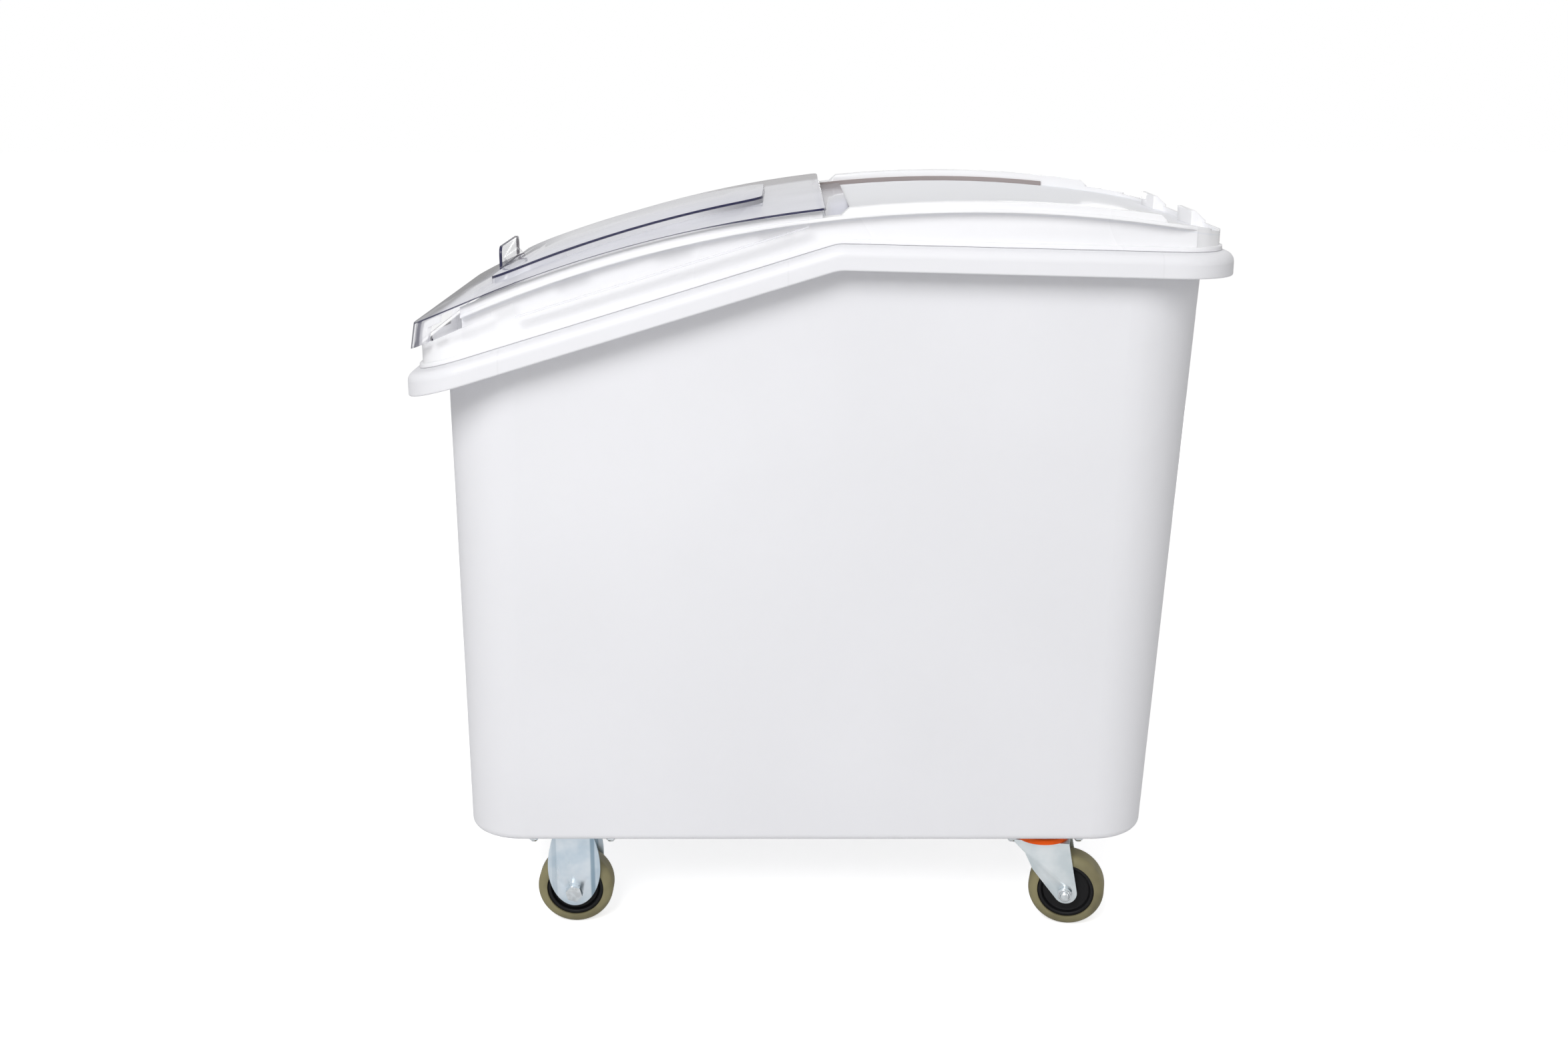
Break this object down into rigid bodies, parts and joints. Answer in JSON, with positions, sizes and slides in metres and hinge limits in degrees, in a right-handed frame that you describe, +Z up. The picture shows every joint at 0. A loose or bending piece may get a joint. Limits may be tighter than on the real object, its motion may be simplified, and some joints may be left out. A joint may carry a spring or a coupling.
{
  "type": "mobile ingredient bin",
  "caption": "Slant-topped plastic ingredient bin on casters, with a lift-off lid base and a clear front lid that slides back over its rear deck.",
  "frame": {"origin": "on the floor, at the centre of the footprint", "axes": "+X from the low front (clear lid) to the rear, +Z up, +Y across"},
  "size_m": [0.749, 0.5, 0.7195],
  "materials": {
    "tub_plastic": "moulded white polyethylene, satin",
    "lid_plastic": "moulded white plastic, semi-gloss",
    "clear_plastic": "clear polycarbonate with a grey-blue tint",
    "strip_plastic": "grey plastic",
    "zinc_steel": "bright zinc plate",
    "bright_steel": "bright plated",
    "hub_plastic": "black plastic",
    "tyre_rubber": "olive-grey rubber",
    "ring_plastic": "orange plastic"
  },
  "bodies": {
    "bin": {"tub": "tub_plastic", "mount_bolts": "bright_steel", "mount_nuts": "bright_steel", "front_near_fork": "zinc_steel", "front_near_axle_sleeve": "zinc_steel", "front_near_axle_bolt": "bright_steel", "front_near_axle_nut": "bright_steel", "front_far_fork": "zinc_steel", "front_far_axle_sleeve": "zinc_steel", "front_far_axle_bolt": "bright_steel", "front_far_axle_nut": "bright_steel", "rear_near_top_plate": "zinc_steel", "rear_far_top_plate": "zinc_steel"},
    "lid_base": {"lid_base": "lid_plastic", "glide_strips": "strip_plastic"},
    "clear_lid": {"clear_lid": "clear_plastic"},
    "front_near_wheel": {"front_near_wheel_hub": "hub_plastic", "front_near_tyre": "tyre_rubber"},
    "front_far_wheel": {"front_far_wheel_hub": "hub_plastic", "front_far_tyre": "tyre_rubber"},
    "rear_near_swivel": {"rear_near_fork": "zinc_steel", "rear_near_kingpin": "zinc_steel", "rear_near_dust_ring": "ring_plastic", "rear_near_race_balls": "bright_steel", "rear_near_axle_sleeve": "zinc_steel", "rear_near_axle_bolt": "bright_steel", "rear_near_axle_nut": "bright_steel"},
    "rear_near_wheel": {"rear_near_wheel_hub": "hub_plastic", "rear_near_tyre": "tyre_rubber"},
    "rear_far_swivel": {"rear_far_fork": "zinc_steel", "rear_far_kingpin": "zinc_steel", "rear_far_dust_ring": "ring_plastic", "rear_far_race_balls": "bright_steel", "rear_far_axle_sleeve": "zinc_steel", "rear_far_axle_bolt": "bright_steel", "rear_far_axle_nut": "bright_steel"},
    "rear_far_wheel": {"rear_far_wheel_hub": "hub_plastic", "rear_far_tyre": "tyre_rubber"}
  },
  "joints": [
    {"name": "lid_base_lift", "type": "slide", "parent": "bin", "child": "lid_base", "axis": [0, 0, 1], "range_m": [0, 0.25]},
    {"name": "clear_lid_slide", "type": "hinge", "parent": "lid_base", "child": "clear_lid", "pos_m": [0.14, 0, -0.462], "axis": [0, 1, 0], "range_deg": [0, 15]},
    {"name": "front_near_spin", "type": "hinge", "parent": "bin", "child": "front_near_wheel", "pos_m": [-0.239, -0.165, 0.0375], "axis": [0, 1, 0], "continuous": true},
    {"name": "front_far_spin", "type": "hinge", "parent": "bin", "child": "front_far_wheel", "pos_m": [-0.239, 0.165, 0.0375], "axis": [0, 1, 0], "continuous": true},
    {"name": "rear_near_swivel", "type": "hinge", "parent": "bin", "child": "rear_near_swivel", "pos_m": [0.228, -0.165, 0.093], "axis": [0, 0, 1], "continuous": true},
    {"name": "rear_near_spin", "type": "hinge", "parent": "rear_near_swivel", "child": "rear_near_wheel", "pos_m": [0.25392, -0.17051, 0.0375], "axis": [0.2079, 0.9781, 0], "continuous": true},
    {"name": "rear_far_swivel", "type": "hinge", "parent": "bin", "child": "rear_far_swivel", "pos_m": [0.228, 0.165, 0.093], "axis": [0, 0, 1], "continuous": true},
    {"name": "rear_far_spin", "type": "hinge", "parent": "rear_far_swivel", "child": "rear_far_wheel", "pos_m": [0.25392, 0.17051, 0.0375], "axis": [-0.2079, 0.9781, 0], "continuous": true}
  ]
}
